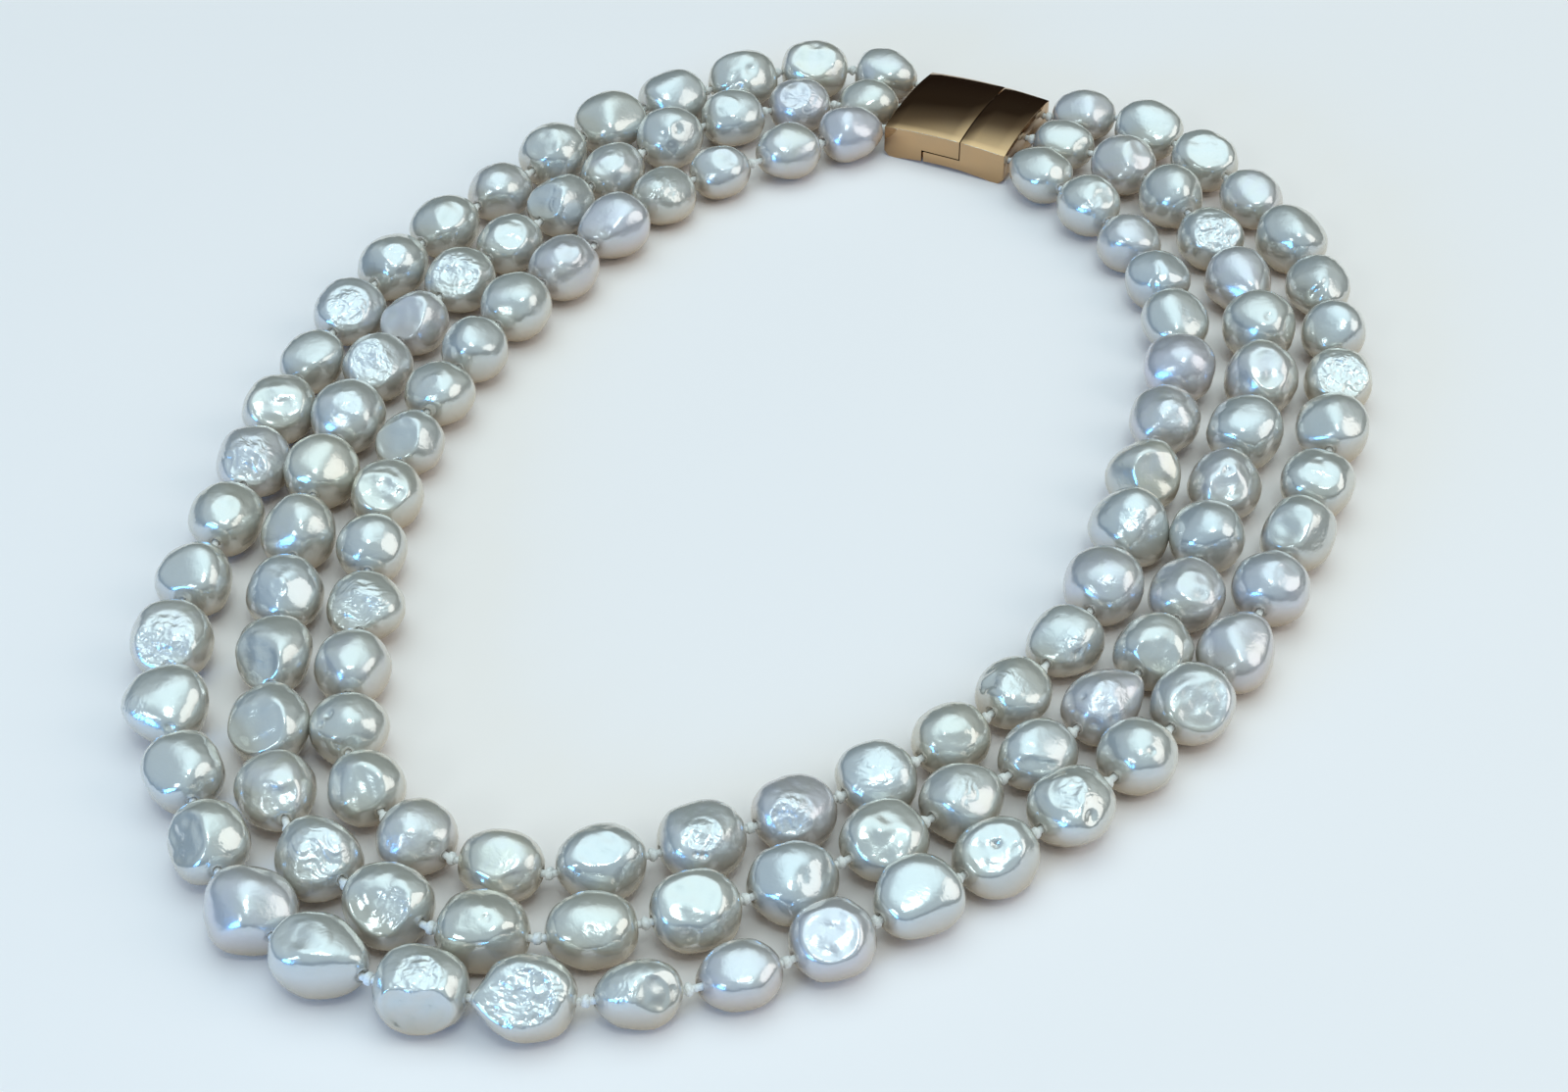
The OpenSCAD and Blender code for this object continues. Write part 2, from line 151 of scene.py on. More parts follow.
# The marks by pearl, counted along each strand from the clasp's left end
OUTER_MARKS: dict[int, list[Spot]] = {
    1: [levelled(-0.1, 0.5, 0.7, 0.8)],
    2: [flat(0, 0.35, 0.8, 0.9), ridged(0, 0.35, 0.5, 10, 0.4)],
    3: [creased(-0.4, -0.2, 0.6, 60), dented(-0.1, -0.4, 0.3), dented(0.3, 0.2)],
    5: [drawn(0.9, 0.2), levelled(-0.4, 0.2, 0.8, 1.0), levelled(0.5, 0.3, 0.7, 0.9)],
    6: [flat(-0.3, 0.35, 0.7, 0.7)],
    7: [ridged(0.1, 0.1, 0.6, 40, 0.4)],
    8: [flat(0.2, 0.35, 0.6, 0.7), levelled(-0.5, 0.2, 0.7, 0.9)],
    9: [wrinkled(0.2, 0.3, 0.5, 0.5), levelled(-0.5, -0.1, 0.7, 1.0)],
    10: [wrinkled(0.08, 0.25, 0.72, 1.2, 30)],
    11: [drawn(0.75, 0.6, 1.0), levelled(-0.1, 0.6, 0.8, 1.0), levelled(0.4, -0.5, 0.7, 0.8)],
    12: [flat(0.1, 0.2, 0.86, 0.9)],
    13: [flat(-0.05, 0.1, 0.8, 0.8), ridged(-0.05, 0.1, 0.85, -40, 1.2)],
    14: [flat(0.2, 0.35, 0.55, 0.5), ridged(-0.2, 0.2, 0.6, 70, 0.4)],
    15: [drawn(0.45, 0.7, 0.8), levelled(-0.3, 0.3, 0.75, 1.0), dented(-0.1, -0.45, 0.3, 0.6)],
    16: [wrinkled(-0.03, 0.14, 0.88, 1.0, 10)],
    17: [
        drawn(-0.95, 0.05, 1.3),
        pitted(0.2, -0.38, 0.10, 1.3),
        ridged(-0.65, 0, 0.4, 80, 1.0),
        levelled(0.4, 0.3, 0.7, 1.0),
    ],
    18: [swirled(0.4, -0.15, 0.38, 1.3), levelled(-0.3, 0.4, 0.8, 1.0)],
    19: [flat(-0.55, 0.2, 0.78, 1.1), levelled(0.5, 0.2, 0.6, 0.7)],
    20: [
        drawn(0.8, -0.5),
        drawn(-0.6, -0.6, 0.7),
        levelled(-0.45, 0.1, 0.8, 1.0),
        levelled(0.4, 0.3, 0.8, 1.0),
        levelled(0, -0.75, 0.7, 1.0),
    ],
    21: [
        drawn(-0.75, 0.5, 0.8),
        drawn(0.9, 0.0, 0.9),
        flat(-0.2, 0.7, 0.6, 0.7),
        levelled(0.2, -0.6, 0.8, 1.0),
    ],
    22: [wrinkled(0, 0.55, 0.7, 0.9, 30), flat(-0.05, -0.42, 0.84, 1.1)],
    23: [drawn(-0.95, 0.05, 1.4, 0.22), wrinkled(-0.02, 0.25, 0.86, 1.1, -10)],
    24: [
        drawn(0.7, 0.6, 0.8, 0.5),
        flat(0.45, 0.1, 0.7, 0.9),
        ridged(-0.45, 0.1, 0.5, 90, 0.8),
        levelled(0, -0.7, 0.8, 1.0),
    ],
    25: [ridged(0.1, 0.3, 0.5, 10, 0.4), levelled(0, 0.5, 0.7, 0.8)],
    26: [flat(-0.05, 0.36, 0.78, 1.1), swirled(-0.3, 0.35, 0.4, 0.8)],
    27: [
        drawn(0.7, -0.6, 0.9),
        drawn(-0.7, -0.5, 0.9),
        levelled(0, 0.4, 0.8, 1.0),
        levelled(0.4, -0.4, 0.7, 0.7),
    ],
    28: [flat(-0.05, 0.38, 0.76, 1.1), pitted(-0.08, 0.45, 0.10, 1.6), swirled(-0.08, 0.45, 0.35, 1.0)],
    29: [flat(-0.2, 0.5, 0.6, 0.8), ridged(0, 0.45, 0.5, 25, 1.0), dented(0.35, -0.15, 0.25, 1.2)],
    30: [pitted(0.24, 0.24, 0.05, 1.4)],
    31: [flat(0.14, 0.22, 0.88, 1.05), swirled(0.5, 0.2, 0.8, 0.5), pitted(0.15, -0.75, 0.06)],
    32: [
        drawn(0.3, -0.8, 0.8),
        drawn(0.6, 0.6, 0.6, 0.4),
        levelled(0.3, 0.5, 0.7, 1.0),
        levelled(-0.5, 0.2, 0.6, 1.0),
    ],
    33: [flat(0.3, 0.4, 0.6, 0.5)],
    34: [flat(-0.4, 0.35, 0.72, 0.9), levelled(0.5, -0.1, 0.8, 1.0)],
    35: [flat(0, 0.35, 0.65, 0.8), ridged(0, 0.2, 0.4, 0, 0.4)],
    36: [levelled(0.42, 0.3, 0.7, 1.0), levelled(-0.5, 0.2, 0.7, 1.0), ridged(0.4, 0.3, 0.4, 70, 0.5)],
    37: [wrinkled(0, 0.3, 0.92, 1.2)],
    38: [levelled(-0.4, 0.3, 0.7, 0.8)],
    39: [creased(-0.2, -0.1, 0.5, 60), levelled(0.5, 0.3, 0.7, 1.0)],
    41: [levelled(0, 0.5, 0.7, 1.0), dented(0.3, -0.4, 0.3, 0.6)],
    42: [flat(0, 0.4, 0.8, 0.9), ridged(0, 0.4, 0.6, -15, 0.7)],
    43: [levelled(0.05, 0.3, 0.85, 1.1), ridged(0, 0.2, 0.6, -20, 0.5)],
    44: [levelled(-0.4, 0.3, 0.7, 1.0), levelled(0.5, 0.3, 0.7, 1.0)],
}
MIDDLE_MARKS: dict[int, list[Spot]] = {
    2: [flat(-0.2, 0.4, 0.7, 0.8), ridged(0.1, 0.1, 0.7, -15, 0.8)],
    3: [flat(-0.2, 0.3, 0.55, 0.6)],
    4: [dented(-0.2, 0, 0.25), dented(0.3, 0.2, 0.25), dented(0.1, -0.35, 0.3, 0.8)],
    5: [flat(0, 0.3, 0.6, 0.6), ridged(0.1, 0.2, 0.5, 45, 0.5)],
    6: [flat(-0.5, 0.2, 0.74, 1.0), ridged(-0.1, 0.1, 0.5, 55, 1.0), levelled(0.6, -0.15, 0.6, 1.0)],
    7: [flat(0.1, 0.3, 0.7, 0.8), ridged(-0.1, -0.1, 0.6, 30, 0.7)],
    8: [wrinkled(-0.05, 0.25, 0.86, 1.1, 20)],
    9: [flat(-0.35, 0.3, 0.84, 1.1), levelled(0.6, -0.2, 0.6, 1.0)],
    10: [wrinkled(-0.05, 0.25, 0.84, 1.1, 40)],
    11: [wrinkled(0.1, 0.4, 0.5, 0.7), levelled(-0.2, 0, 0.8, 0.8)],
    12: [pitted(-0.4, -0.35, 0.05), levelled(0.5, 0.2, 0.7, 0.8)],
    13: [drawn(0, 0.9, 0.9), levelled(-0.5, 0.3, 0.7, 1.0), ridged(0.3, 0.2, 0.5, 10, 0.5)],
    14: [levelled(-0.5, 0.1, 0.8, 1.0), levelled(0.5, 0.2, 0.75, 1.0), wrinkled(0, 0.2, 0.35, 0.7)],
    15: [flat(-0.48, 0.1, 0.84, 1.05), ridged(-0.5, 0.2, 0.6, 10, 0.4)],
    16: [flat(-0.3, 0.2, 0.84, 1.1), swirled(-0.2, 0.2, 0.5, 0.35)],
    17: [flat(0.1, 0.1, 0.85, 0.6), wrinkled(0.15, -0.1, 0.5, 0.5)],
    18: [flat(0.1, 0.2, 0.8, 0.8), ridged(0.1, 0.2, 0.8, -35, 1.1)],
    19: [flat(-0.15, 0.2, 0.84, 1.0), ridged(0.2, 0.15, 0.5, 40, 1.0), levelled(0.5, -0.6, 0.6, 1.0)],
    20: [dented(0.17, 0.5, 0.2, 0.9), swirled(0.17, 0.5, 0.3, 1.0), levelled(0, -0.7, 0.7, 1.0)],
    21: [levelled(0, 0.3, 0.7, 1.0), swirled(0.1, 0.1, 0.6, 0.9)],
    22: [flat(0, 0.48, 0.8, 1.0), levelled(0, -0.25, 0.7, 1.1), dented(-0.2, -0.55, 0.3, 0.7)],
    23: [dented(0.32, 0.2, 0.5, 0.9), levelled(-0.4, 0.4, 0.7, 1.0)],
    24: [flat(0, 0.22, 0.84, 0.8)],
    25: [levelled(0.4, 0.3, 0.7, 1.0), ridged(0.1, 0.35, 0.4, 80, 0.8)],
    26: [creased(0, -0.15, 0.6, 0, 1.2), dented(-0.3, 0.3, 0.25, 0.7), levelled(0.3, 0.5, 0.6, 1.0)],
    27: [
        drawn(0.8, 0.6, 1.2, 0.3),
        wrinkled(0.1, 0.3, 0.7, 0.6),
        pitted(-0.6, 0.3, 0.08),
        dented(-0.3, -0.4, 0.25),
        dented(0.2, -0.3, 0.2),
    ],
    28: [flat(0.1, 0.05, 0.7, 0.9), ridged(0.1, 0.05, 0.5, 20, 0.4)],
    29: [flat(0.15, 0.3, 0.6, 0.7)],
    31: [flat(0.08, 0.15, 0.86, 0.7), swirled(-0.05, 0.5, 0.35, 1.4), dented(-0.05, 0.5, 0.22)],
    33: [flat(0.1, 0.3, 0.7, 0.9), levelled(-0.6, -0.1, 0.6, 1.0)],
    34: [dented(0.1, 0.25, 0.2)],
    35: [drawn(0.2, -0.9, 0.8), levelled(-0.4, 0.3, 0.6, 1.0)],
    36: [wrinkled(0.1, 0.22, 0.82, 1.1)],
    38: [flat(0.4, 0.3, 0.6, 0.8), levelled(-0.5, 0.2, 0.7, 1.0)],
    39: [levelled(0, 0.4, 0.7, 1.0), dented(0.5, -0.1, 0.3, 0.6)],
}
INNER_MARKS: dict[int, list[Spot]] = {
    2: [levelled(0.2, 0.4, 0.7, 1.0)],
    3: [flat(0.2, 0.45, 0.6, 0.8), levelled(-0.3, 0.2, 0.7, 0.8)],
    4: [ridged(0, 0.2, 0.7, 60, 0.8), dented(0.3, 0, 0.3, 0.6)],
    5: [drawn(-0.8, -0.5, 1.1), levelled(-0.3, 0.4, 0.7, 1.0), dented(-0.2, -0.2, 0.25, 0.8)],
    6: [flat(0.2, 0.4, 0.55, 0.6)],
    9: [levelled(-0.5, 0.4, 0.7, 1.0), wrinkled(-0.1, 0.25, 0.55, 0.5), dented(-0.15, -0.5, 0.25, 0.8)],
    10: [flat(-0.35, 0.25, 0.84, 1.05), levelled(0.7, 0.1, 0.6, 1.0)],
    11: [flat(0.0, 0.28, 0.8, 1.0), ridged(0.2, 0.35, 0.4, 45, 0.8)],
    12: [ridged(0, 0.2, 0.6, 0, 0.4)],
    13: [drawn(0.95, -0.1, 1.1, 0.5), flat(-0.12, 0.15, 0.84, 0.9), ridged(-0.12, 0.15, 0.9, 5, 1.2)],
    15: [pitted(-0.5, 0.5, 0.12, 1.5), pitted(-0.65, 0.2, 0.09, 1.3), creased(0.05, -0.42, 0.4, 10, 0.9)],
    16: [flat(0, 0.15, 0.86, 0.6), levelled(-0.6, 0.2, 0.6, 1.0)],
    17: [ridged(-0.1, 0.15, 0.8, 40, 0.6), dented(0.55, -0.2, 0.25, 0.9)],
    18: [levelled(0, 0.35, 0.8, 1.0), creased(0, -0.35, 0.8, 5, 0.7)],
    19: [flat(0, 0.55, 0.7, 0.9), levelled(0.1, -0.1, 0.7, 1.1)],
    20: [wrinkled(0.1, 0.3, 0.6, 0.8), pitted(0.1, -0.3, 0.09, 1.3), pitted(-0.1, -0.25, 0.07)],
    21: [wrinkled(-0.04, 0, 0.62, 1.0, 20), swirled(0, 0, 0.9, 0.5)],
    22: [ridged(0, 0.2, 0.8, 15, 0.8), levelled(0, 0.3, 0.8, 1.0)],
    23: [flat(0.2, 0.3, 0.6, 0.6)],
    24: [
        creased(-0.75, 0.3, 0.3, 10, 1.2),
        ridged(-0.2, 0.35, 0.5, -50, 1.2),
        levelled(0.3, 0.5, 0.6, 1.0),
    ],
    25: [
        drawn(-0.9, -0.3, 1.1),
        levelled(-0.3, 0.3, 0.7, 1.0),
        ridged(0.2, 0, 0.6, 40, 0.9),
        dented(0.3, -0.35, 0.25),
    ],
    27: [
        drawn(0.8, -0.5, 1.1),
        drawn(0.1, 0.9, 0.6),
        wrinkled(0, 0.3, 0.5, 0.6),
        levelled(0.6, -0.2, 0.6, 1.0),
    ],
    28: [
        drawn(0.5, 0.8, 0.7),
        drawn(-0.8, -0.3, 0.7),
        flat(0.3, 0.02, 0.84, 0.9),
        levelled(-0.6, -0.2, 0.7, 1.0),
    ],
    29: [wrinkled(0.1, 0.25, 0.6, 0.5), levelled(0, -0.5, 0.7, 0.8)],
    31: [levelled(0.45, 0.3, 0.7, 1.2), levelled(-0.4, 0.2, 0.7, 0.9), ridged(0.3, 0.3, 0.4, 60, 0.5)],
    32: [creased(0.05, 0, 0.6, 80, 1.1), levelled(-0.5, 0.2, 0.6, 1.0)],
    34: [flat(0.3, 0.3, 0.6, 0.7), wrinkled(0.1, 0, 0.35, 0.5)],
    35: [levelled(-0.3, 0.4, 0.7, 1.0), dented(0.4, 0, 0.25, 0.8)],
}

# How far a face is pressed in, as a share of the pearl's radius, for a mark as wide as the pearl
FACE_PRESS = {Mark.LEVELLED: 0.25, Mark.FLAT: 0.44, Mark.WRINKLED: 0.4}

# Where a mark starts to fade and where it has gone, in shares of its size
FADE_FROM = 0.7
FADE_TO = 1.1
CREASE_FADE_FROM = 0.5

# The noise of folds and ridges: dimension, lacunarity, octaves, offset and gain
FOLD_NOISE = (0.9, 2.1, 2, 1.0, 1.6)

# How far a pearl's seed moves its place in the noise, along each axis
SEED_STEPS = (7.3, 3.1, -5.7)

# The steepest turn of a soft press that is worked out
PRESS_LIMIT = 30.0

# The side of a pearl that a mark is placed by: from above and in front, at this slope
MARK_SLOPE = math.radians(50)
MARK_RIGHT = Vector((1, 0, 0))
MARK_UP = Vector((0, math.cos(MARK_SLOPE), math.sin(MARK_SLOPE)))
MARK_OUT = Vector((0, -math.sin(MARK_SLOPE), math.cos(MARK_SLOPE)))


def eased(value: float, low: float, high: float) -> float:
    """A smooth step from 0 at low to 1 at high."""
    share = min(max((value - low) / (high - low), 0.0), 1.0)
    return share * share * (3 - 2 * share)


def bent(over: float, soft: float) -> float:
    """How far a soft press has taken hold, in softnesses, where the surface stands over the face."""
    return math.log1p(math.exp(min(over / soft, PRESS_LIMIT)))


Number = Union[int, float]


class Field:
    """A value that changes over a surface. Arithmetic on it adds Math nodes."""

    def __init__(self, build: "Nodes", socket: bpy.types.NodeSocket) -> None:
        """Keeps the output socket that the value comes from."""
        self.build = build
        self.socket = socket

    def _math(self, operation: str, *values: Union["Field", Number]) -> "Field":
        """Adds one Math node over the values."""
        return self.build.add("ShaderNodeMath", {"operation": operation}, dict(enumerate(values)))

    def __add__(self, other: Union["Field", Number]) -> "Field":
        """The sum."""
        return self._math("ADD", self, other)

    def __radd__(self, other: Number) -> "Field":
        """The sum, with the number first."""
        return self._math("ADD", other, self)

    def __mul__(self, other: Union["Field", Number]) -> "Field":
        """The product."""
        return self._math("MULTIPLY", self, other)

    def __rmul__(self, other: Number) -> "Field":
        """The product, with the number first."""
        return self._math("MULTIPLY", other, self)


Colour = tuple[float, float, float]


class Nodes:
    """A node tree, with one method that adds any node."""

    def __init__(self, tree: bpy.types.NodeTree) -> None:
        """Keeps the tree that the nodes go into."""
        self.tree = tree

    def add(
        self,
        kind: str,
        settings: Optional[dict[str, object]] = None,
        values: Optional[dict[Union[str, int], object]] = None,
        output: Union[str, int] = 0,
    ) -> Field:
        """Adds a node.

        Args:
            kind: the node's type.
            settings: its own settings, set before its sockets.
            values: numbers, colours or Fields by socket.
            output: the output socket that is given back.

        Returns:
            The node's output as a Field.
        """
        node = self.tree.nodes.new(kind)
        for name, value in (settings or {}).items():
            if name == "stops":
                self.set_stops(node.color_ramp, value)
            else:
                setattr(node, name, value)
        for key, value in (values or {}).items():
            if isinstance(value, Field):
                self.tree.links.new(value.socket, node.inputs[key])
            else:
                node.inputs[key].default_value = value
        return Field(self, node.outputs[output])

    @staticmethod
    def set_stops(ramp: bpy.types.ColorRamp, stops: Sequence[tuple[float, Colour]]) -> None:
        """Sets a colour ramp's stops.

        Args:
            ramp: the ramp.
            stops: each stop's place and colour, in order.
        """
        while len(ramp.elements) < len(stops):
            ramp.elements.new(1.0)
        for element, (place, colour) in zip(ramp.elements, stops):
            element.position = place
            element.color = (*colour, 1.0)

    def remapped(self, value: Field, low: float, high: float, start: float = 0.0, end: float = 1.0) -> Field:
        """The value's range low to high, clamped and moved to start to end."""
        return self.add("ShaderNodeMapRange", None, {0: value, 1: low, 2: high, 3: start, 4: end})

    def mixed(self, share: Union[Field, Number], one: object, other: object) -> Field:
        """Mixes two colours by a share.

        Args:
            share: how much of the other colour.
            one: a plain colour or a Field.
            other: the same.

        Returns:
            The mixed colour.
        """
        full = [(*c, 1.0) if isinstance(c, tuple) else c for c in (one, other)]
        return self.add("ShaderNodeMix", {"data_type": "RGBA"}, {0: share, 6: full[0], 7: full[1]}, 2)


class Finish(Nodes):
    """A material with a Principled shader."""

    def __init__(self, name: str) -> None:
        """Makes a material.

        Args:
            name: the material's name.
        """
        self.material = bpy.data.materials.new(name)
        self.material.use_nodes = True
        super().__init__(self.material.node_tree)
        self.shader = self.tree.nodes["Principled BSDF"]

    def coordinates(self) -> Field:
        """Object coordinates."""
        return self.add("ShaderNodeTexCoord", output="Object")

    def attribute(self, name: str) -> Field:
        """A value that the piece's mesh carries."""
        return self.add("ShaderNodeAttribute", {"attribute_name": name}, output="Fac")

    def grain(self, scale: float, detail: float, roughness: float = 0.5, distortion: float = 0.0) -> Field:
        """Noise in object space, with scale in features a metre."""
        values = {
            "Vector": self.coordinates(),
            "Scale": scale,
            "Detail": detail,
            "Roughness": roughness,
            "Distortion": distortion,
        }
        return self.add("ShaderNodeTexNoise", None, values)

    def bump(self, height: Field, strength: float, distance: float) -> Field:
        """A Bump node over a height."""
        values = {"Height": height, "Strength": strength, "Distance": distance}
        return self.add("ShaderNodeBump", None, values)

    def drive(self, socket: str, value: Field) -> None:
        """Links a value to a socket of the shader."""
        self.tree.links.new(value.socket, self.shader.inputs[socket])

    def fix(self, **values: object) -> None:
        """Sets the shader's own sockets, with _ for a space in their names."""
        for name, value in values.items():
            self.shader.inputs[name.replace("_", " ")].default_value = value


@dataclass(frozen=True)
class Nacre:
    """The pearls' surface: cool white nacre with a soft deep gloss, and a painted warm reflection and shade
    on the undersides. Scales are in features a metre.
    """

    cool: Colour = (0.63, 0.652, 0.635)
    warm: Colour = (0.68, 0.66, 0.57)
    rosy: Colour = (0.655, 0.63, 0.65)
    frosted: Colour = (0.82, 0.85, 0.85)
    # Painted warm reflection and shade: the colour turns brown towards the pearls' undersides, fully below
    # the lower height and gone above the upper
    painted_underside: Colour = (0.48, 0.375, 0.235)
    painted_underside_from: float = 1.4 * MM
    painted_underside_to: float = 5.4 * MM
    painted_underside_share: float = 0.9
    milky: Colour = (0.75, 0.78, 0.78)
    milky_share: float = 0.15
    frosted_share: float = 0.4
    cloud_scale: float = 260
    fine_scale: float = 1200
    swell_scale: float = 420
    fold_scale: float = 900.0
    gloss: float = 0.10
    film: float = 330.0

    def material(self) -> bpy.types.Material:
        """Builds the material from the tone and wrinkle values on each pearl, with a painted warm reflection
        and shade low down.

        Returns:
            The material.
        """
        f = Finish("Nacre")
        tone = f.attribute("tone")
        blush = f.attribute("blush")
        cloud = f.remapped(f.grain(self.cloud_scale, 3, 0.55, 0.8), 0.3, 0.7)
        body = f.mixed(tone, self.cool, self.warm)
        body = f.mixed(f.remapped(blush + 0.35 * cloud, 0.75, 1.25), body, self.rosy)
        body = f.mixed(self.milky_share * cloud, body, self.milky)
        height = f.add("ShaderNodeSeparateXYZ", None, {0: f.coordinates()}, 2)
        # Painted warm reflection and shade: browner towards the bottom of each pearl
        low = f.remapped(height, self.painted_underside_from, self.painted_underside_to, 1.0, 0.0)
        rough = f.attribute("wrinkled")
        body = f.mixed(self.painted_underside_share * low, body, self.painted_underside)
        f.drive("Base Color", f.mixed(self.frosted_share * rough, body, self.frosted))
        fine = f.grain(self.fine_scale, 1, 0.6, 1.0)
        swell = f.grain(self.swell_scale, 2, 0.5, 0.6)
        f.drive("Roughness", self.gloss + 0.07 * cloud + 0.09 * blush + 0.07 * rough)
        cells = {"Vector": f.coordinates(), "Scale": self.fold_scale}
        folds = f.add("ShaderNodeTexVoronoi", {"feature": "SMOOTH_F1"}, cells)
        height = (0.5 * fine + 0.7 * folds) * rough + 0.2 * fine + 0.5 * swell
        f.drive("Normal", f.bump(height, 0.4, 0.3 * MM))
        f.fix(Metallic=0.5, IOR=1.62, Coat_Weight=0.4, Coat_Roughness=0.09, Coat_IOR=1.6)
        f.fix(Thin_Film_Thickness=self.film, Thin_Film_IOR=1.4)
        return f.material


@dataclass(frozen=True)
class Silk:
    """White silk thread."""

    white: Colour = (0.92, 0.91, 0.89)
    # Painted shade: the colour in the grooves between the plies, where the bump is low
    painted_groove_shade: Colour = (0.76, 0.74, 0.71)

    def material(self) -> bpy.types.Material:
        """Builds the material with the fine lines of its plies, with painted shade in the grooves between
        them.

        Returns:
            The material.
        """
        f = Finish("Silk")
        plies = f.grain(4200, 2, 0.6)
        # Painted shade in the grooves: the colour follows the bump's height
        f.drive("Base Color", f.mixed(f.remapped(plies, 0.35, 0.65), self.painted_groove_shade, self.white))
        f.drive("Normal", f.bump(plies, 0.4, 0.08 * MM))
        f.fix(Roughness=0.55, Sheen_Weight=0.3)
        return f.material


@dataclass(frozen=True)
class Gilt:
    """Polished gold coloured metal."""

    gold: Colour = (0.54, 0.345, 0.185)
    worn: Colour = (0.44, 0.31, 0.19)

    def material(self) -> bpy.types.Material:
        """Builds the material, polished with a faint haze of wear.

        Returns:
            The material.
        """
        f = Finish("Gilt")
        haze = f.remapped(f.grain(300, 3), 0.35, 0.7)
        f.drive("Base Color", f.mixed(0.3 * haze, self.gold, self.worn))
        f.drive("Roughness", 0.06 + 0.05 * haze)
        f.fix(Metallic=1.0)
        return f.material


@dataclass(frozen=True)
class Paper:
    """The pale floor."""

    tone: Colour = (0.96, 0.885, 0.865)

    def material(self) -> bpy.types.Material:
        """Builds the plain matt material.

        Returns:
            The material.
        """
        f = Finish("Pale_floor")
        f.fix(Base_Color=(*self.tone, 1.0), Roughness=0.9)
        return f.material


def new_piece(name: str, bm: bmesh.types.BMesh, material: bpy.types.Material) -> bpy.types.Object:
    """Makes an object at the origin from a bmesh.

    Args:
        name: the piece's name.
        bm: its mesh, which is freed.
        material: its only material.

    Returns:
        The object, smooth shaded.
    """
    mesh = bpy.data.meshes.new(name)
    bm.to_mesh(mesh)
    bm.free()
    mesh.materials.append(material)
    mesh.shade_smooth()
    piece = bpy.data.objects.new(name, mesh)
    bpy.context.collection.objects.link(piece)
    return piece


@dataclass
class Blank:
    """One pearl of the frame: its faces, the surface's direction at each corner and its bore's two ends."""

    tree: BVHTree
    corners: list[list[tuple[Vector, Vector]]]
    centre: Vector
    ends: tuple[Vector, Vector]
    rounding: float = 0.85
    ray: float = 15 * MM
    bore_keep: float = 0.7 * MM

    @property
    def axis(self) -> Vector:
        """The bore's direction."""
        return (self.ends[1] - self.ends[0]).normalized()

    @property
    def half(self) -> float:
        """Half the bore's length."""
        return (self.ends[1] - self.ends[0]).length / 2

    def skin(self, way: Vector) -> Vector:
        """The place of the rounded skin in one direction from the pearl's middle.

        The flat face that lies there is bulged towards the surface's direction at its corners.

        Args:
            way: the direction, one long.

        Returns:
            The place, or the bore's end where the direction runs along the bore.
        """
        tip = self.centre + way * self.half
        if abs(way.dot(self.axis)) > math.cos(math.atan2(self.bore_keep, self.half)):
            return tip
        place, _, face, _ = self.tree.ray_cast(self.centre + way * self.ray, -way, self.ray)
        if place is None:
            return tip
        corners = self.corners[face]
        shares = poly_3d_calc([c for c, _ in corners], place)
        bulged = Vector()
        for share, (corner, out) in zip(shares, corners):
            bulged += share * (place - out * (place - corner).dot(out))
        return place.lerp(bulged, self.rounding)


@dataclass
class Frame:
    """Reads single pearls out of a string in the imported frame."""

    bore_reach: float = 1.3 * MM

    def blanks(self, node: bpy.types.Object) -> list[Blank]:
        """Parts a string of pearls.

        Args:
            node: the string's CAD object.

        Returns:
            Its pearls in the order of the string, from the clasp's left end.
        """
        bm = bmesh.new()
        bm.from_mesh(node.data)
        bmesh.ops.remove_doubles(bm, verts=bm.verts, dist=WELD)
        left = set(bm.faces)
        found = []
        for start in bm.faces:
            if start not in left:
                continue
            left.remove(start)
            group, edge = [start], [start]
            while edge:
                for e in edge.pop().edges:
                    for f in e.link_faces:
                        if f in left:
                            left.remove(f)
                            group.append(f)
                            edge.append(f)
            found.append(self._blank(group))
        bm.free()
        return self._strung(found)

    def _blank(self, faces: list[bmesh.types.BMFace]) -> Blank:
        """Measures one pearl.

        Args:
            faces: its faces, the bore's among them.

        Returns:
            The pearl, with the bore's faces left out of its skin.
        """
        verts = list(dict.fromkeys(v for f in faces for v in f.verts))
        number = {v: i for i, v in enumerate(verts)}
        places = [v.co.copy() for v in verts]
        low = Vector([min(p[i] for p in places) for i in range(3)])
        high = Vector([max(p[i] for p in places) for i in range(3)])
        middle = (low + high) / 2
        inside = {f for f in faces if f.normal.dot(f.calc_center_median() - middle) < self.bore_reach}
        outside = [f for f in faces if f not in inside]
        tree = BVHTree.FromPolygons(places, [[number[v] for v in f.verts] for f in outside])
        out = {v: Vector() for v in verts}
        for f in outside:
            for v in f.verts:
                out[v] += f.normal * f.calc_area()
        corners = [[(v.co.copy(), out[v].normalized()) for v in f.verts] for f in outside]
        rim = [v.co.copy() for v in dict.fromkeys(v for f in faces if f in inside for v in f.verts)]
        one = max(rim, key=lambda p: (p - middle).length)
        other = max(rim, key=lambda p: (p - one).length)
        near = [p for p in rim if (p - one).length < (p - other).length]
        far = [p for p in rim if (p - one).length >= (p - other).length]
        ends = (sum(near, Vector()) / len(near), sum(far, Vector()) / len(far))
        return Blank(tree, corners, (ends[0] + ends[1]) / 2, ends)

    @staticmethod
    def _strung(found: list[Blank]) -> list[Blank]:
        """Puts pearls in order from the clasp's left end, nearest to nearest.

        Args:
            found: the pearls in any order.

        Returns:
            The pearls in a row, each with its bore's ends in the order of the string.
        """
        low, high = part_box("clasp_box")
        at = Vector((low[0], high[1], low[2]))
        row = []
        while found:
            found.sort(key=lambda b: (b.centre - at).length)
            row.append(found.pop(0))
            at = row[-1].centre
        for i, blank in enumerate(row):
            back = row[i - 1].centre if i else Vector((low[0], high[1], low[2]))
            if (blank.ends[0] - back).length > (blank.ends[1] - back).length:
                blank.ends = (blank.ends[1], blank.ends[0])
        return row


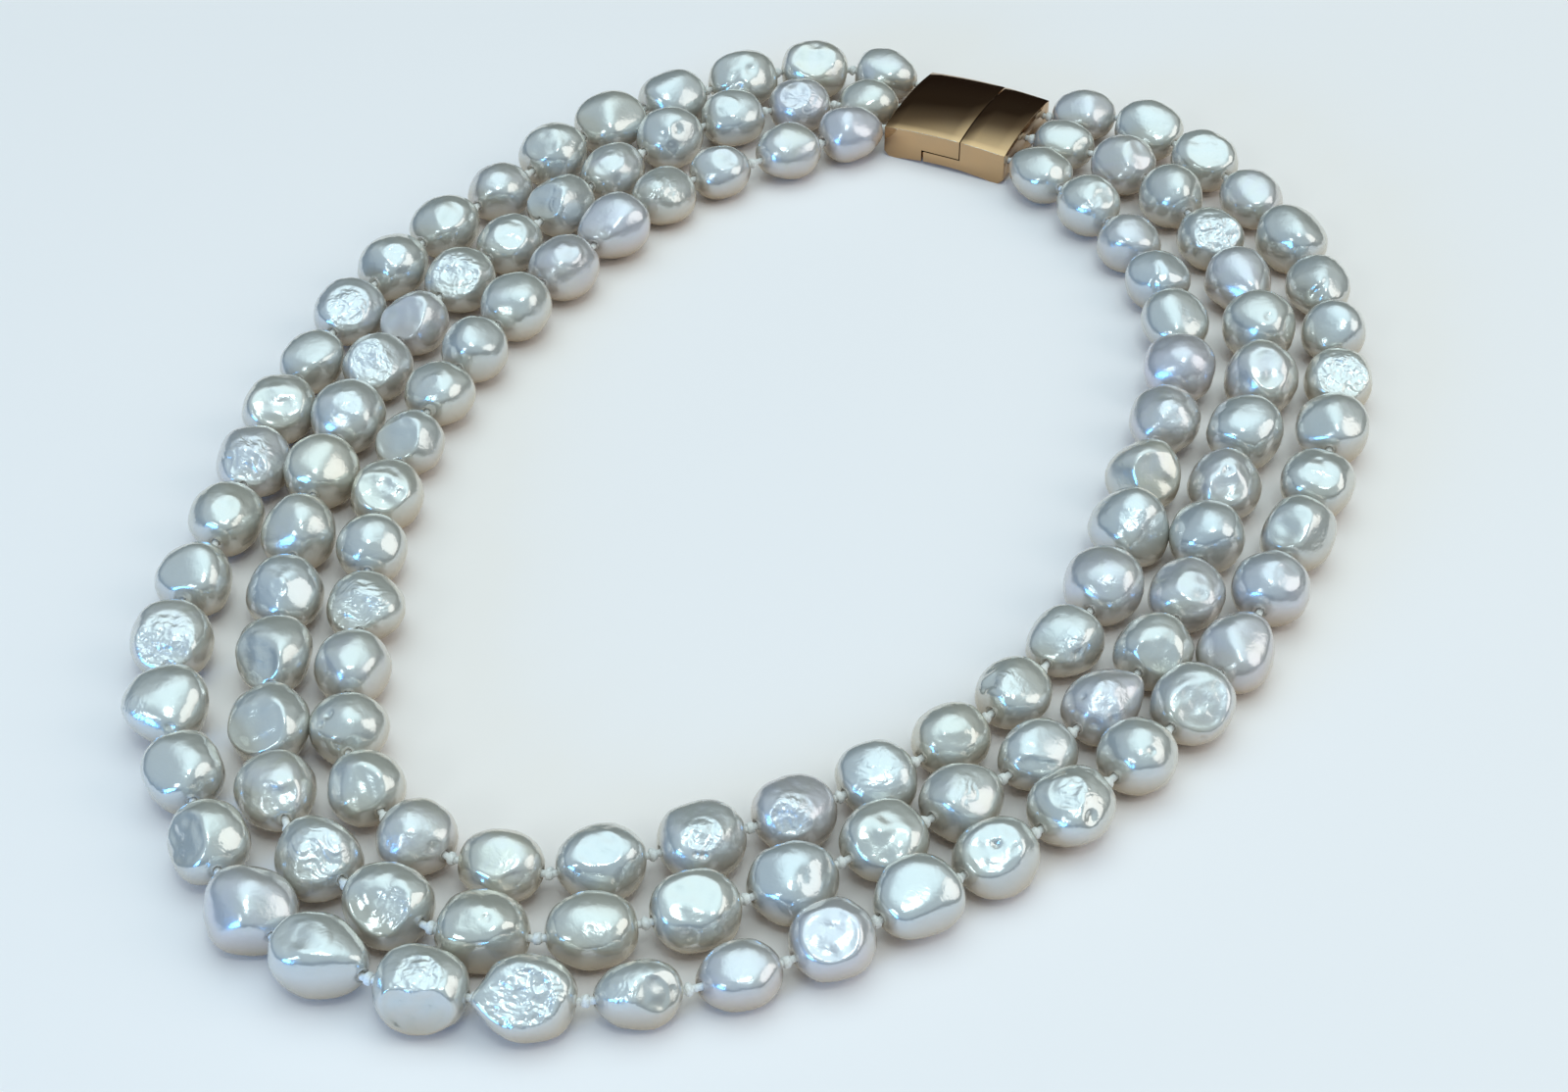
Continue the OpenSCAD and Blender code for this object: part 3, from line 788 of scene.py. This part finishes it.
@dataclass
class PearlForm:
    """How a pearl's skin is grown over its blank, in shares of the pearl's radius where no unit is named."""

    fineness: int = 5
    smoothing: int = 30
    swell: float = 1.0
    unevenness: float = 0.036
    ripple: float = 0.012
    flatness: float = 0.95
    soft: float = 0.03
    rim_height: float = 0.02
    rim_width: float = 0.07
    face_wave: float = 0.04
    fold_depth: float = 0.021
    ridge_depth: float = 0.020
    ring_depth: float = 0.009
    crease_depth: float = 0.045
    dent_depth: float = 0.075
    pit_depth: float = 0.07
    drawn_reach: float = 0.16
    own_flats: int = 4
    own_spread: float = 0.85
    own_size: float = 0.6
    own_depth: float = 0.5
    own_soft: float = 0.09
    own_beside_face: float = 0.15
    hole_radius: float = 0.62 * MM
    hole_depth: float = 0.7 * MM
    hole_reach: float = 2 * MM
    uneven_scale: float = 1.4
    ripple_scale: float = 4.3
    wave_scale: float = 2.6
    fold_warp: float = 0.9
    fold_warp_scale: float = 3
    fold_scales: tuple[float, float, float] = (2.9, 5.0, 3.5)
    fold_level: float = 1.2
    ridge_bend: float = 0.3
    ridge_bend_scale: float = 2.2
    ridge_scales: tuple[float, float] = (1.6, 7.5)
    ridge_level: float = 1.1
    ring_spacing: float = 17
    ring_drift: float = 0.25
    ring_drift_scale: float = 2.5
    ring_break_scale: float = 3.1
    crease_width: float = 0.14
    crease_bend: float = 0.25
    crease_curve: float = 0.12
    crease_lip: float = 0.6
    crease_lip_place: float = 1.6
    dent_fall: float = 2.2
    fine_kinds: tuple[Mark, ...] = (Mark.WRINKLED, Mark.RIDGED)
    fine_from: float = 0.8

    def grow(self, blank: Blank, spots: Sequence[Spot], seed: int) -> bmesh.types.BMesh:
        """Makes one pearl.

        Args:
            blank: the pearl in the frame.
            spots: its marks.
            seed: sets this pearl's own unevenness apart.

        Returns:
            The pearl's mesh, with its wrinkled values.
        """
        bm = bmesh.new()
        fine = any(s.kind in self.fine_kinds and s.depth >= self.fine_from for s in spots)
        bmesh.ops.create_icosphere(bm, subdivisions=self.fineness, radius=1.0)
        for v in bm.verts:
            v.co = blank.skin(v.co.normalized())
        before = self._reaches(bm, blank)
        self._smooth(bm, self.smoothing)
        if fine:
            bmesh.ops.subdivide_edges(bm, edges=bm.edges, cuts=1, use_grid_fill=True, smooth=0.0)
            self._smooth(bm, 2)
        after = self._reaches(bm, blank)
        for v in bm.verts:
            arm = v.co - blank.centre
            parts = (d * arm.dot(d) * b / a for (d, b), (_, a) in zip(before, after))
            v.co = blank.centre + sum(parts, Vector())
        self._sculpt(bm, blank, spots, seed)
        lowest = min(v.co.z for v in bm.verts)
        bmesh.ops.translate(bm, verts=bm.verts, vec=(0, 0, -lowest))
        return bm

    @staticmethod
    def _smooth(bm: bmesh.types.BMesh, rounds: int) -> None:
        """Evens out the skin."""
        for _ in range(rounds):
            bmesh.ops.smooth_vert(
                bm, verts=bm.verts, factor=0.5, use_axis_x=True, use_axis_y=True, use_axis_z=True
            )

    @staticmethod
    def _reaches(bm: bmesh.types.BMesh, blank: Blank) -> list[tuple[Vector, float]]:
        """Measures the pearl along its bore and the two ways across it.

        Args:
            bm: its mesh.
            blank: the pearl in the frame.

        Returns:
            The three ways, each with the pearl's reach along it.
        """
        along = blank.axis
        side = along.orthogonal().normalized()
        reaches = []
        for way in (along, side, along.cross(side)):
            spread = [v.co.dot(way) for v in bm.verts]
            reaches.append((way, max(spread) - min(spread)))
        return reaches

    def _own_flats(self, spots: Sequence[Spot], seed: int) -> list[Spot]:
        """Places the faint flats that no two pearls share, fainter on a pearl with a flat face.

        Args:
            spots: the pearl's marks.
            seed: its seed.

        Returns:
            The faint flats as marks.
        """
        own = []
        faced = any(s.kind in (Mark.FLAT, Mark.WRINKLED) for s in spots)
        depth = self.own_depth * (self.own_beside_face if faced else 1.0)
        noise.seed_set(seed)
        for _ in range(self.own_flats):
            place = noise.random_unit_vector() * self.own_spread
            own.append(levelled(place.x, place.y, self.own_size, depth))
        return own

    def _sculpt(self, bm: bmesh.types.BMesh, blank: Blank, spots: Sequence[Spot], seed: int) -> None:
        """Grows the unevenness and the marks, and sets the wrinkled values.

        Args:
            bm: the pearl's mesh.
            blank: the pearl in the frame.
            spots: its marks.
            seed: sets its place in the noise.
        """
        wrinkled_layer = bm.verts.layers.float.new("wrinkled")
        radius = sum((v.co - blank.centre).length for v in bm.verts) / len(bm.verts)
        shift = Vector([seed * step for step in SEED_STEPS])
        faces = [SpotFace(s, blank, radius, bm) for s in [*self._own_flats(spots, seed), *spots]]
        for v in bm.verts:
            arm = v.co - blank.centre
            way = arm.normalized()
            height = noise.noise(way * self.uneven_scale + shift) * self.unevenness
            height += noise.noise(way * self.ripple_scale + shift) * self.ripple
            arm = arm * (self.swell + height)
            rough = 0.0
            for face in faces:
                arm, roughened = face.shaped(arm, way, shift, self)
                rough = max(rough, roughened)
            v[wrinkled_layer] = rough
            v.co = blank.centre + arm
        for end, out in zip(blank.ends, (-blank.axis, blank.axis)):
            for v in bm.verts:
                away = v.co - end
                side = (away - out * away.dot(out)).length
                if side < self.hole_radius and away.length < self.hole_reach:
                    v.co -= out * self.hole_depth * (1 - (side / self.hole_radius) ** 2)


class SpotFace:
    """A mark set on one pearl."""

    def __init__(self, spot: Spot, blank: Blank, radius: float, bm: bmesh.types.BMesh) -> None:
        """Places the mark.

        Args:
            spot: the mark.
            blank: its pearl in the frame.
            radius: the pearl's mean radius.
            bm: the pearl's mesh before its marks.
        """
        self.spot = spot
        self.radius = radius
        away = math.sqrt(max(1 - spot.right**2 - spot.up**2, 0.0))
        self.out = (MARK_RIGHT * spot.right + MARK_UP * spot.up + MARK_OUT * away).normalized()
        across = MARK_RIGHT - self.out * MARK_RIGHT.dot(self.out)
        across.normalize()
        turned = Matrix.Rotation(math.radians(spot.turn), 3, self.out)
        self.along = turned @ across
        self.side = self.out.cross(self.along)
        self.top = max((v.co - blank.centre).dot(self.out) for v in bm.verts)
        self.press = FACE_PRESS[spot.kind] * spot.size**2 * spot.depth if spot.kind in FACE_PRESS else 0.0
        self.rim = self.top * math.sqrt(max(1 - (1 - self.press) ** 2, 0.01))

    def shaped(self, arm: Vector, way: Vector, shift: Vector, form: PearlForm) -> tuple[Vector, float]:
        """Presses the mark into one place of the surface.

        Args:
            arm: the place, from the pearl's centre.
            way: the arm's direction before any mark.
            shift: the pearl's own place in the noise.
            form: the depths.

        Returns:
            The moved arm, and how wrinkled the surface is there.
        """
        facing = way.dot(self.out)
        if facing < 0.1:
            return arm, 0.0
        spot = self.spot
        x = way.dot(self.along)
        y = way.dot(self.side)
        share = math.hypot(x, y) / spot.size
        inside = 1 - eased(share, FADE_FROM, FADE_TO)
        kind = spot.kind
        rough = 0.0
        if kind is Mark.LEVELLED:
            over = arm.dot(self.out) - self.top * (1 - self.press)
            soft = form.own_soft * self.radius
            arm = arm - self.out * soft * bent(over, soft)
        if kind in (Mark.FLAT, Mark.WRINKLED):
            over = arm.dot(self.out) - self.top * (1 - self.press)
            soft = form.soft * self.radius
            pressed = soft * bent(over, soft)
            arm = arm - self.out * pressed * form.flatness
            rim = 0.5 * (math.hypot(arm.dot(self.along), arm.dot(self.side)) / self.rim - 1) / form.rim_width
            wave = noise.noise(way * form.wave_scale - shift) * form.face_wave * inside
            arm = arm + self.out * self.radius * (form.rim_height * math.exp(-rim * rim) * spot.depth + wave)
        if kind is Mark.WRINKLED and inside > 0:
            warp = noise.noise_vector(way * form.fold_warp_scale + shift) * form.fold_warp
            drawn = Vector([a * b for a, b in zip((x, y, facing), form.fold_scales)]) + warp + shift
            folds = noise.ridged_multi_fractal(drawn, *FOLD_NOISE) - form.fold_level
            arm = arm + self.out * self.radius * form.fold_depth * spot.depth * inside * folds
            rough = inside * min(spot.depth, 1.0)
        elif kind is Mark.RIDGED and inside > 0:
            bend = noise.noise(way * form.ridge_bend_scale + shift) * form.ridge_bend
            along, across = form.ridge_scales
            drawn = Vector((x * along, (y + bend) * across, 0.0)) + shift
            lines = noise.ridged_multi_fractal(drawn, *FOLD_NOISE) - form.ridge_level
            arm = arm + way * self.radius * form.ridge_depth * spot.depth * inside * lines
            rough = inside * 0.5 * min(spot.depth, 1.0)
        elif kind is Mark.SWIRLED and inside > 0:
            ring = share + form.ring_drift * noise.noise(way * form.ring_drift_scale + shift)
            broken = 0.5 + noise.noise(way * form.ring_break_scale - shift)
            line = math.sin(ring * form.ring_spacing) * broken
            arm = arm + way * self.radius * form.ring_depth * spot.depth * inside * line
            rough = inside * 0.15
        elif kind is Mark.CREASED:
            bend = form.crease_bend * noise.noise(way * 2 + shift) + form.crease_curve * x * x
            fade = 1 - eased(abs(x) / spot.size, CREASE_FADE_FROM, FADE_TO)
            across = (y - bend) / form.crease_width
            lip = form.crease_lip * math.exp(-((across - form.crease_lip_place) ** 2))
            fold = math.exp(-across * across) - lip
            arm = arm - way * self.radius * form.crease_depth * spot.depth * fade * fold
        elif kind is Mark.DENTED:
            fall = math.exp(-form.dent_fall * share * share)
            arm = arm - way * self.radius * form.dent_depth * spot.depth * fall
        elif kind is Mark.PITTED:
            arm = arm - way * self.radius * form.pit_depth * spot.depth * math.exp(-share * share)
        elif kind is Mark.DRAWN:
            fall = math.exp((facing - 1) / spot.size**2)
            arm = arm + self.out * self.radius * form.drawn_reach * spot.depth * fall
        return arm, rough


@dataclass
class PearlStrand:
    """One string of pearls in a few lengths, which stand for its CAD node."""

    node: str
    marks: dict[int, list[Spot]]
    seed: int
    form: PearlForm = field(default_factory=PearlForm)
    lengths: int = 4
    tone_spread: float = 0.9
    tone_start: float = 0.37
    tone_steps: tuple[float, float] = (1.713, 0.571)
    blush_shift: tuple[float, float, float] = (5.1, 2.7, 9.4)
    blanks: list[Blank] = field(default_factory=list)

    def build(self, frame: dict, nacre: bpy.types.Material) -> None:
        """Grows every pearl and lays them in lengths of the string.

        Args:
            frame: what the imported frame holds.
            nacre: the pearls' material.
        """
        self.blanks = Frame().blanks(frame["nodes"][self.node])
        per = math.ceil(len(self.blanks) / self.lengths)
        for length in range(self.lengths):
            whole = bmesh.new()
            for i in range(length * per, min((length + 1) * per, len(self.blanks))):
                self._join(whole, i)
            name = f"{self.node}_{length + 1}"
            triangles = len(whole.faces)
            piece = new_piece(name, whole, nacre)
            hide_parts(self.node)
            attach(piece, "root")
            log.info("%s: %d triangles", name, triangles)

    def _join(self, whole: bmesh.types.BMesh, i: int) -> None:
        """Grows one pearl and adds it to a length, with its own tone.

        Args:
            whole: the length's mesh.
            i: the pearl's place on the string, from 0.
        """
        bm = self.form.grow(self.blanks[i], self.marks.get(i + 1, []), self.seed + i)
        tone = bm.verts.layers.float.new("tone")
        blush = bm.verts.layers.float.new("blush")
        step, rise = self.tone_steps
        own = Vector((self.seed * self.tone_start + i * step, i * rise, self.seed))
        for v in bm.verts:
            v[tone] = 0.5 + self.tone_spread * noise.noise(own)
            v[blush] = 0.5 + self.tone_spread * noise.noise(own + Vector(self.blush_shift))
        grown = bpy.data.meshes.new("grown")
        bm.to_mesh(grown)
        bm.free()
        whole.from_mesh(grown)
        bpy.data.meshes.remove(grown)


@dataclass
class SilkKnots:
    """The overhand knots between the pearls of one string."""

    node: str
    radius: float = 0.68 * MM
    groove: float = 0.09 * MM
    squash: float = 0.82
    turns: float = 3.0
    plies: int = 2
    stand_off: float = 0.8
    turn_step: float = 1.9

    def build(self, blanks: list[Blank], silk: bpy.types.Material) -> None:
        """Ties a knot between every two pearls and outside the first and last.

        Args:
            blanks: the string's pearls in order.
            silk: the thread's material.
        """
        whole = bmesh.new()
        places = []
        for one, other in zip(blanks, blanks[1:]):
            places.append(((one.ends[1] + other.ends[0]) / 2, (other.ends[0] - one.ends[1])))
        first, last = blanks[0], blanks[-1]
        places.append((first.ends[0] - first.axis * self.radius * self.stand_off, first.axis))
        places.append((last.ends[1] + last.axis * self.radius * self.stand_off, last.axis))
        for i, (place, along) in enumerate(places):
            self._tie(whole, place, along.normalized(), i)
        name = f"{self.node}_knots"
        piece = new_piece(name, whole, silk)
        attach(piece, "root")
        log.info("%s: %d knots", name, len(places))

    def _tie(self, whole: bmesh.types.BMesh, place: Vector, along: Vector, i: int) -> None:
        """Adds one knot with the groove between its plies.

        Args:
            whole: the mesh that it goes into.
            place: the knot's middle.
            along: the thread's direction there.
            i: the knot's number, which turns it.
        """
        made = bmesh.ops.create_icosphere(whole, subdivisions=3, radius=self.radius)["verts"]
        turn = Matrix.Rotation(i * self.turn_step, 4, "Z")
        face = along.to_track_quat("Z", "Y").to_matrix().to_4x4()
        for v in made:
            spin = math.atan2(v.co.y, v.co.x)
            level = v.co.z / self.radius
            v.co += v.co.normalized() * self.groove * math.sin(spin * self.plies + level * self.turns)
            v.co.z *= self.squash
        bmesh.ops.transform(whole, matrix=Matrix.Translation(place) @ face @ turn, verts=made)


@dataclass
class Clasp:
    """The two halves of the box clasp, with their edges eased."""

    nodes: tuple[str, str] = ("clasp_box", "clasp_tongue")
    edge: float = 0.14 * MM
    segments: int = 3
    sharp: float = math.radians(28)
    flat: float = math.radians(0.4)
    shaded_sharp: float = math.radians(35)

    def build(self, frame: dict, gilt: bpy.types.Material) -> None:
        """Eases the edges of copies of both halves, which stand for the CAD nodes.

        Args:
            frame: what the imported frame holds.
            gilt: the clasp's material.
        """
        for node in self.nodes:
            bm = bmesh.new()
            bm.from_mesh(frame["nodes"][node].data)
            bmesh.ops.remove_doubles(bm, verts=bm.verts, dist=WELD)
            bmesh.ops.dissolve_limit(
                bm,
                angle_limit=self.flat,
                use_dissolve_boundaries=False,
                verts=bm.verts,
                edges=bm.edges,
                delimit={"NORMAL"},
            )
            edges = [e for e in bm.edges if len(e.link_faces) == 2 and e.calc_face_angle(0.0) > self.sharp]
            bmesh.ops.bevel(
                bm,
                geom=edges,
                offset=self.edge,
                affect="EDGES",
                segments=self.segments,
                profile=0.5,
                material=-1,
                clamp_overlap=True,
                harden_normals=False,
            )
            open_edges = sum(1 for e in bm.edges if len(e.link_faces) != 2)
            piece = new_piece(f"{node}_polished", bm, gilt)
            piece.data.set_sharp_from_angle(angle=self.shaded_sharp)
            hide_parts(node)
            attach(piece, "root")
            log.info("%s: %d open edges", piece.name, open_edges)


@dataclass(frozen=True)
class SoftBox:
    """A soft light, by where it stands as seen from the necklace.

    Azimuth is in degrees from the camera's side, to the left as it is seen.
    """

    name: str
    azimuth: float
    elevation: float
    width: float
    height: float
    power: float
    colour: Colour = (1.0, 1.0, 1.0)
    distance: float = 1.4

    def build(self) -> None:
        """Hangs the light and turns it to the necklace."""
        around, above = math.radians(self.azimuth), math.radians(self.elevation)
        level = math.cos(above)
        way = Vector((-math.sin(around) * level, -math.cos(around) * level, math.sin(above)))
        lamp = bpy.data.lights.new(self.name, "AREA")
        lamp.shape = "ELLIPSE"
        lamp.size = 2 * self.distance * math.tan(math.radians(self.width / 2))
        lamp.size_y = 2 * self.distance * math.tan(math.radians(self.height / 2))
        lamp.energy = self.power
        lamp.color = self.colour
        holder = bpy.data.objects.new(self.name, lamp)
        holder.location = way * self.distance
        holder.rotation_euler = way.to_track_quat("Z", "Y").to_euler()
        bpy.context.collection.objects.link(holder)


@dataclass
class Studio:
    """The floor, the lights and the camera."""

    floor_size: float = 6.0
    camera_place: Vector = field(default_factory=lambda: Vector((-0.0004, -0.2694, 0.21242)))
    camera_pitch: float = math.radians(40)
    lens: float = 61.875
    sensor: float = 36.0
    boxes: tuple[SoftBox, ...] = (
        SoftBox("Key_softbox", -12, 66, 14, 11, 1.7, (0.80, 0.97, 1.0)),
        SoftBox("Side_softbox", 36, 34, 15, 13, 1.2, (0.80, 0.96, 1.0)),
        SoftBox("Right_softbox", -80, 32, 40, 40, 3.6, (1.0, 0.99, 0.93)),
        SoftBox("Blue_window", 42, 13, 25, 15, 8.5, (0.10, 0.42, 1.0)),
    )
    room: tuple[tuple[float, Colour], ...] = (
        (0.0, (0.04, 0.04, 0.05)),
        (0.20, (0.06, 0.06, 0.07)),
        (0.42, (0.38, 0.43, 0.44)),
        (1.0, (0.46, 0.53, 0.55)),
    )
    glow: Colour = (1.40, 1.76, 1.84)
    glow_way: Colour = (0.06, 0.14, 0.988)
    glow_from: float = 0.74
    far_tone: Colour = (0.02, 0.016, 0.014)
    far_shade: float = 0.96
    far_shade_from: float = 0.5
    far_shade_to: float = 0.85

    def build(self) -> None:
        """Sets up all of it."""
        bm = bmesh.new()
        bmesh.ops.create_grid(bm, x_segments=1, y_segments=1, size=self.floor_size / 2)
        floor = new_piece("Floor", bm, Paper().material())
        for box in self.boxes:
            box.build()
        self._room()
        bpy.context.scene.view_settings.view_transform = "Standard"
        self._camera()

    def _room(self) -> None:
        """Makes the room's soft light: dim beyond the necklace, with a broad glow overhead."""
        world = bpy.data.worlds.new("Studio")
        world.use_nodes = True
        nodes = Nodes(world.node_tree)
        way = nodes.add("ShaderNodeTexCoord", output="Generated")
        height = nodes.add("ShaderNodeSeparateXYZ", None, {0: way}, "Z")
        beyond = nodes.add("ShaderNodeSeparateXYZ", None, {0: way}, "Y")
        ceiling = nodes.add("ShaderNodeValToRGB", {"stops": self.room}, {0: height})
        dim = self.far_shade * nodes.remapped(beyond, self.far_shade_from, self.far_shade_to)
        shaded = nodes.mixed(dim, ceiling, self.far_tone)
        dot = {"operation": "DOT_PRODUCT"}
        facing = nodes.add("ShaderNodeVectorMath", dot, {0: way, 1: self.glow_way}, "Value")
        smooth = {"interpolation_type": "SMOOTHSTEP"}
        share = nodes.add("ShaderNodeMapRange", smooth, {0: facing, 1: self.glow_from, 2: 1.0})
        lit = nodes.mixed(share, shaded, self.glow)
        nodes.tree.links.new(lit.socket, nodes.tree.nodes["Background"].inputs["Color"])
        bpy.context.scene.world = world

    def _camera(self) -> None:
        """Stands the camera at the photograph's place."""
        data = bpy.data.cameras.new("Camera")
        data.lens = self.lens
        data.sensor_width = self.sensor
        data.clip_start = 0.01
        camera = bpy.data.objects.new("Camera", data)
        camera.location = self.camera_place
        camera.rotation_euler = (math.pi / 2 - self.camera_pitch, 0, 0)
        bpy.context.collection.objects.link(camera)
        bpy.context.scene.camera = camera


def main() -> None:
    """Builds the necklace's looks round the frame."""
    logging.basicConfig(level=logging.INFO, format="%(message)s")
    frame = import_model()
    nacre = Nacre().material()
    silk = Silk().material()
    gilt = Gilt().material()
    strands = (
        PearlStrand("outer_pearls", OUTER_MARKS, 11),
        PearlStrand("middle_pearls", MIDDLE_MARKS, 71),
        PearlStrand("inner_pearls", INNER_MARKS, 131),
    )
    for strand in strands:
        strand.build(frame, nacre)
        thread = strand.node.replace("pearls", "thread")
        frame["nodes"][thread].data.materials.clear()
        frame["nodes"][thread].data.materials.append(silk)
        SilkKnots(thread).build(strand.blanks, silk)
    Clasp().build(frame, gilt)
    Studio().build()


if __name__ == "__main__":
    main()
